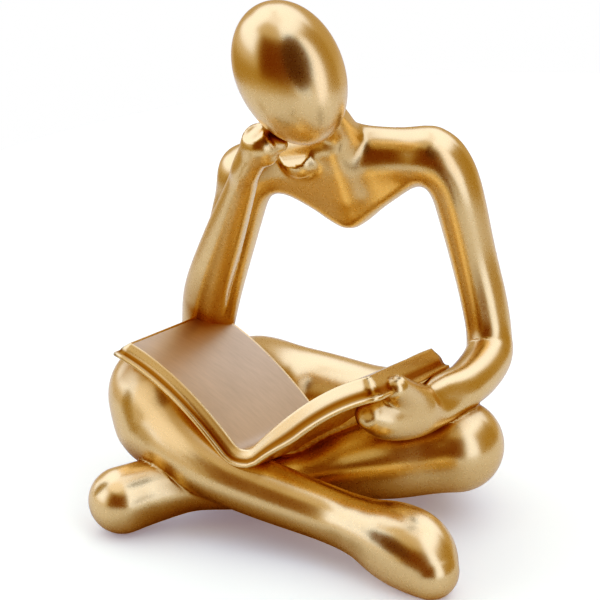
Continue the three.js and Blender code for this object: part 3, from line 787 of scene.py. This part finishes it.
def gold_material(name, colour, roughness):
    """Satin metallic paint with a fine brushed grain, its colour darkened by painted shade in hollows
    and creases.
    """
    material, tree, paint = new_material(name)
    paint.inputs["Metallic"].default_value = 1
    # Painted shade: the stored share mixes the colour towards the dark brown
    depth = node(tree, "ShaderNodeAttribute", attribute_name="painted_shade")
    shade = tree.nodes.new("ShaderNodeMix")
    shade.data_type = "RGBA"
    tree.links.new(depth.outputs["Fac"], shade.inputs["Factor"])
    shade.inputs["A"].default_value = (*colour, 1)
    shade.inputs["B"].default_value = (*PAINTED_SHADE_COLOUR, 1)
    tree.links.new(shade.outputs["Result"], paint.inputs["Base Color"])
    place = tree.nodes.new("ShaderNodeTexCoord")
    fine = node(tree, "ShaderNodeTexNoise", Scale=GRAINS, Detail=NOISE_LAYERS)
    tree.links.new(place.outputs["Object"], fine.inputs["Vector"])
    bump = tree.nodes.new("ShaderNodeBump")
    bump.inputs["Strength"].default_value = GRAIN_STRENGTH
    bump.inputs["Distance"].default_value = GRAIN_HEIGHT
    tree.links.new(fine.outputs["Fac"], bump.inputs["Height"])
    tree.links.new(bump.outputs["Normal"], paint.inputs["Normal"])
    spread = node(tree, "ShaderNodeMapRange")
    spread.inputs["To Min"].default_value = roughness - ROUGHNESS_SPREAD
    spread.inputs["To Max"].default_value = roughness + ROUGHNESS_SPREAD
    tree.links.new(fine.outputs["Fac"], spread.inputs["Value"])
    tree.links.new(spread.outputs["Result"], paint.inputs["Roughness"])
    return material


def page_material(name, colour, roughness):
    """The same paint, paler and duller, with brushed streaks and cloudy patches; the paler colour is
    a painted reflection.
    """
    material = gold_material(name, colour, roughness)
    tree = material.node_tree
    paint = tree.nodes["Principled BSDF"]
    place = tree.nodes.new("ShaderNodeTexCoord")
    turn = (0, 0, math.radians(STREAK_TURN))
    stretch = node(tree, "ShaderNodeMapping", Scale=STREAKS, Rotation=turn)
    tree.links.new(place.outputs["Object"], stretch.inputs["Vector"])
    streaks = node(tree, "ShaderNodeTexNoise", Scale=1, Detail=NOISE_LAYERS)
    tree.links.new(stretch.outputs["Vector"], streaks.inputs["Vector"])
    clouds = node(tree, "ShaderNodeTexNoise", Scale=CLOUDS, Detail=1)
    tree.links.new(place.outputs["Object"], clouds.inputs["Vector"])
    both = math_node(tree, "ADD", streaks.outputs["Fac"], clouds.outputs["Fac"])
    strength = math_node(tree, "MULTIPLY_ADD", both, STREAK_DEPTH, 1 - STREAK_DEPTH)
    plain = paint.inputs["Base Color"].links[0].from_socket
    marked = tree.nodes.new("ShaderNodeVectorMath")
    marked.operation = "SCALE"
    tree.links.new(plain, marked.inputs[0])
    tree.links.new(strength, marked.inputs["Scale"])
    tree.links.new(marked.outputs["Vector"], paint.inputs["Base Color"])
    return material


gold = gold_material("gold_paint", GOLD_COLOUR, GOLD_ROUGHNESS)
page_reflection_gold = page_material("gold_paint_page_reflection", PAGE_REFLECTION_COLOUR, PAGE_ROUGHNESS)
for piece in (body, book):
    piece.data.materials.append(gold)
    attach(piece, "root")
    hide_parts("reading_figure")
# The page on the figure's right gets the paler colour, a painted reflection
book.data.materials.append(page_reflection_gold)
for face in page_faces:
    centre = np.array(face.center) / MM - CENTRING - np.array(SPINE_NEAR)
    if (book_axes.T @ centre)[0] < 0:
        face.material_index = 1


# Surroundings: how brightly the gold mirrors each direction of the studio
# (azimuth 0 is in front of the figure, 90 to its left, in degrees)
BASE_LIGHT = 0.42
PATCHES = [
    # azimuth: centre, half width, softness; elevation: low, high, softness; brightness
    (-45, 75, 20, -32, -18, 8, 0.24),
    (-102, 48, 14, 8, 75, 12, 1.0),
    (-22, 36, 20, 45, 75, 12, 0.42),
    (112, 70, 16, 48, 80, 10, 1.0),
    (160, 38, 16, 18, 56, 12, 1.0),
    (180, 50, 12, -8, 20, 8, 0.33),
    (102, 30, 10, -18, 32, 10, 0.23),
    (53, 12, 8, -24, 46, 10, 1.0),
    (-1, 27, 14, -20, 38, 10, 0.05),
    (0, 185, 10, 80, 90, 10, 0.8),
]
# Colour of the surroundings at a brightness of the gold: brown in the dark, cool in the light
LIGHT_COLOURS = [
    (0.00, (0.03, 0.008, 0.002)),
    (0.05, (0.13, 0.048, 0.012)),
    (0.15, (0.33, 0.20, 0.06)),
    (0.25, (0.48, 0.35, 0.16)),
    (0.35, (0.63, 0.51, 0.31)),
    (0.55, (0.86, 0.84, 0.76)),
    (0.75, (1.04, 1.14, 1.30)),
    (1.00, (1.20, 1.45, 1.85)),
]
BRIGHTEST = 2


def window(tree, value, low, high, soft):
    """1 between low and high, falling smoothly to 0 over the softness outside them."""
    parts = []
    for start, end in ((low - soft, low), (high + soft, high)):
        step = tree.nodes.new("ShaderNodeMapRange")
        step.interpolation_type = "SMOOTHSTEP"
        step.inputs["From Min"].default_value = start
        step.inputs["From Max"].default_value = end
        tree.links.new(value, step.inputs["Value"])
        parts.append(step.outputs["Result"])
    return math_node(tree, "MULTIPLY", *parts)


def mixed(tree, share, first, second):
    """first where the share is 0, second where it is 1."""
    change = math_node(tree, "SUBTRACT", second, first)
    return math_node(tree, "MULTIPLY_ADD", share, change, first)


def build_world():
    world = bpy.data.worlds.new("studio")
    world.use_nodes = True
    bpy.context.scene.world = world
    tree = world.node_tree
    tree.nodes.clear()
    place = tree.nodes.new("ShaderNodeTexCoord")
    split = tree.nodes.new("ShaderNodeSeparateXYZ")
    tree.links.new(place.outputs["Generated"], split.inputs["Vector"])
    x, y, z = split.outputs
    to_degrees = 180 / math.pi
    front = math_node(tree, "MULTIPLY", y, -1)
    azimuth = math_node(tree, "MULTIPLY", math_node(tree, "ARCTAN2", x, front), to_degrees)
    elevation = math_node(tree, "MULTIPLY", math_node(tree, "ARCSINE", z), to_degrees)
    light = BASE_LIGHT
    for centre, half, soft, low_edge, high_edge, soft_edge, brightness in PATCHES:
        turned_by = math_node(tree, "SUBTRACT", azimuth, centre)
        turned_by = math_node(tree, "WRAP", turned_by, 180, -180)
        across = window(tree, turned_by, -half, half, soft)
        upward = window(tree, elevation, low_edge, high_edge, soft_edge)
        share = math_node(tree, "MULTIPLY", across, upward)
        light = mixed(tree, share, light, brightness)
    ramp = tree.nodes.new("ShaderNodeValToRGB")
    while len(ramp.color_ramp.elements) < len(LIGHT_COLOURS):
        ramp.color_ramp.elements.new(0.5)
    for element, (position, colour) in zip(ramp.color_ramp.elements, LIGHT_COLOURS):
        element.position = position
        element.color = (*(value / BRIGHTEST for value in colour), 1)
    tree.links.new(light, ramp.inputs["Fac"])
    studio = tree.nodes.new("ShaderNodeBackground")
    tree.links.new(ramp.outputs["Color"], studio.inputs["Color"])
    studio.inputs["Strength"].default_value = BRIGHTEST
    backdrop = tree.nodes.new("ShaderNodeBackground")
    backdrop.inputs["Color"].default_value = (1, 1, 1, 1)
    backdrop.inputs["Strength"].default_value = 1
    path = tree.nodes.new("ShaderNodeLightPath")
    choice = tree.nodes.new("ShaderNodeMixShader")
    tree.links.new(path.outputs["Is Camera Ray"], choice.inputs["Fac"])
    tree.links.new(studio.outputs["Background"], choice.inputs[1])
    tree.links.new(backdrop.outputs["Background"], choice.inputs[2])
    out = tree.nodes.new("ShaderNodeOutputWorld")
    tree.links.new(choice.outputs["Shader"], out.inputs["Surface"])


build_world()

# Floor: a pale round table top, which the gold mirrors darker close under the figure, a painted
# shadow
FLOOR_RADIUS = 0.24
FLOOR_CENTRE = (0.05, 0.06, 0)
FLOOR_SIDES = 96
FLOOR_ROUGHNESS = 0.8
FLOOR_SEEN = (0.98, 0.93, 0.80)
FLOOR_GLOW = (0.2, 0.2, 0.2)
FLOOR_MIRRORED_SHADOW = (0.34, 0.25, 0.15)
FLOOR_MIRRORED_PALE = (0.85, 0.80, 0.70)
FLOOR_SHADOW_CENTRE = (-0.014, -0.004, 0)
FLOOR_SHADOW_RADIUS = 0.03
FLOOR_PALE_RADIUS = 0.06


def disc(name, sides, radius):
    """A flat round mesh object around the origin, facing up."""
    mesh = bpy.data.meshes.new(name)
    bm = bmesh.new()
    bmesh.ops.create_circle(bm, cap_ends=True, segments=sides, radius=radius)
    bm.to_mesh(mesh)
    bm.free()
    made = bpy.data.objects.new(name, mesh)
    bpy.context.scene.collection.objects.link(made)
    return made


def build_floor():
    floor = disc("floor", FLOOR_SIDES, FLOOR_RADIUS)
    floor.location = FLOOR_CENTRE
    material, tree, paint = new_material("pale_floor")
    paint.inputs["Roughness"].default_value = FLOOR_ROUGHNESS
    paint.inputs["Emission Color"].default_value = (*FLOOR_GLOW, 1)
    floor.data.materials.append(material)
    place = tree.nodes.new("ShaderNodeNewGeometry")
    reach = tree.nodes.new("ShaderNodeVectorMath")
    reach.operation = "DISTANCE"
    reach.inputs[1].default_value = FLOOR_SHADOW_CENTRE
    tree.links.new(place.outputs["Position"], reach.inputs[0])
    fade = tree.nodes.new("ShaderNodeMapRange")
    fade.interpolation_type = "SMOOTHSTEP"
    fade.inputs["From Min"].default_value = FLOOR_SHADOW_RADIUS
    fade.inputs["From Max"].default_value = FLOOR_PALE_RADIUS
    tree.links.new(reach.outputs["Value"], fade.inputs["Value"])
    # Painted shadow: the colour that the gold mirrors darkens towards the spot under the figure
    mirrored = tree.nodes.new("ShaderNodeMix")
    mirrored.data_type = "RGBA"
    tree.links.new(fade.outputs["Result"], mirrored.inputs["Factor"])
    mirrored.inputs["A"].default_value = (*FLOOR_MIRRORED_SHADOW, 1)
    mirrored.inputs["B"].default_value = (*FLOOR_MIRRORED_PALE, 1)
    path = tree.nodes.new("ShaderNodeLightPath")
    tint = tree.nodes.new("ShaderNodeMix")
    tint.data_type = "RGBA"
    tree.links.new(path.outputs["Is Camera Ray"], tint.inputs["Factor"])
    tree.links.new(mirrored.outputs["Result"], tint.inputs["A"])
    tint.inputs["B"].default_value = (*FLOOR_SEEN, 1)
    tree.links.new(tint.outputs["Result"], paint.inputs["Base Color"])
    tree.links.new(path.outputs["Is Camera Ray"], paint.inputs["Emission Strength"])


build_floor()


def way_to(azimuth, elevation):
    """Direction from its azimuth, 0 in front and 90 to the figure's left, and elevation."""
    across, up = degrees(azimuth, elevation)
    return Vector((math.sin(across) * math.cos(up), -math.cos(across) * math.cos(up), math.sin(up)))


# Studio cards round the figure, which only the gold mirrors: place, azimuth and elevation that
# they face, width and height, and colour. Sizes are in metres.
CARD_SIDES = 48
HEAD_CARD_DISTANCE = 0.050
head_middle = (Vector(HEAD_CENTRE) + Vector(CENTRING)) * MM
head_card_centre = head_middle + way_to(45, 17) * HEAD_CARD_DISTANCE
CARDS = [
    ("head_flag", head_card_centre, (45, 17), (0.048, 0.071), (0.03, 0.01, 0.003)),
    ("head_strip", (0.075, -0.012, 0.142), (90, 0), (0.04, 0.13), (1.2, 1.36, 1.62)),
    ("knee_card", (-0.051, -0.044, 0.047), (-20, 25), (0.031, 0.034), (1.05, 1.08, 1.05)),
    ("knee_flag", (-0.072, -0.033, 0.029), (-63, -5), (0.016, 0.034), (0.38, 0.27, 0.11)),
    ("foot_flag", (0.020, -0.068, 0.026), (-45, 25), (0.044, 0.024), (0.06, 0.02, 0.005)),
    ("hand_card", (0.018, -0.050, 0.047), (-5, 12), (0.028, 0.024), (0.72, 0.62, 0.42)),
    ("arm_flag", (0.038, -0.009, 0.083), (9, -20), (0.010, 0.030), (0.06, 0.02, 0.005)),
]


def build_card(name, centre, facing, size, colour):
    """A disc 1 m wide, scaled to the card's size, which only glows and only shows in the gold."""
    held = disc(name, CARD_SIDES, 0.5)
    held.location = centre
    held.rotation_euler = way_to(*facing).to_track_quat("Z", "Y").to_euler()
    held.scale = (*size, 1)
    held.visible_camera = False
    held.visible_shadow = False
    held.visible_diffuse = False
    material, tree, paint = new_material(name)
    paint.inputs["Base Color"].default_value = (0, 0, 0, 1)
    paint.inputs["Specular IOR Level"].default_value = 0
    paint.inputs["Emission Color"].default_value = (*colour, 1)
    paint.inputs["Emission Strength"].default_value = 1
    held.data.materials.append(material)


for card in CARDS:
    build_card(*card)

# Camera: from the front, a little to the figure's left, looking down
CAMERA_WAY = way_to(15, 25)
DISTANCE = 5
FRAME_HEIGHT = 0.1622
SENSOR = 36
CLIP_END = 20
AIM = Vector((0.0002, -0.00955, 0.0656))
camera_data = bpy.data.cameras.new("camera")
camera_data.sensor_width = SENSOR
camera_data.lens = SENSOR * DISTANCE / FRAME_HEIGHT
camera_data.clip_end = CLIP_END
camera = bpy.data.objects.new("camera", camera_data)
camera.location = AIM + CAMERA_WAY * DISTANCE
camera.rotation_euler = CAMERA_WAY.to_track_quat("Z", "Y").to_euler()
bpy.context.scene.collection.objects.link(camera)
bpy.context.scene.camera = camera

# Display: light of red, green and blue before and after, for a warmer brown in the dark tones
DISPLAY_GAMMA = 0.85
DISPLAY_TONES = [
    [(0.00, 0.0), (0.10, 0.152), (0.25, 0.300), (0.50, 0.500), (1, 1)],
    [(0.00, 0.0), (0.04, 0.032), (0.08, 0.074), (0.15, 0.147), (1, 1)],
    [(0.00, 0.0), (0.03, 0.008), (0.09, 0.070), (0.20, 0.215), (0.5, 0.58), (1, 1)],
]
display = bpy.context.scene.view_settings
display.view_transform = "Standard"
display.gamma = DISPLAY_GAMMA
display.use_curve_mapping = True
display_curves = display.curve_mapping
for curve, tones in zip(display_curves.curves, DISPLAY_TONES):
    while len(curve.points) < len(tones):
        curve.points.new(0.5, 0.5)
    for point, tone in zip(curve.points, tones):
        point.location = tone
display_curves.update()

bpy.context.view_layer.update()
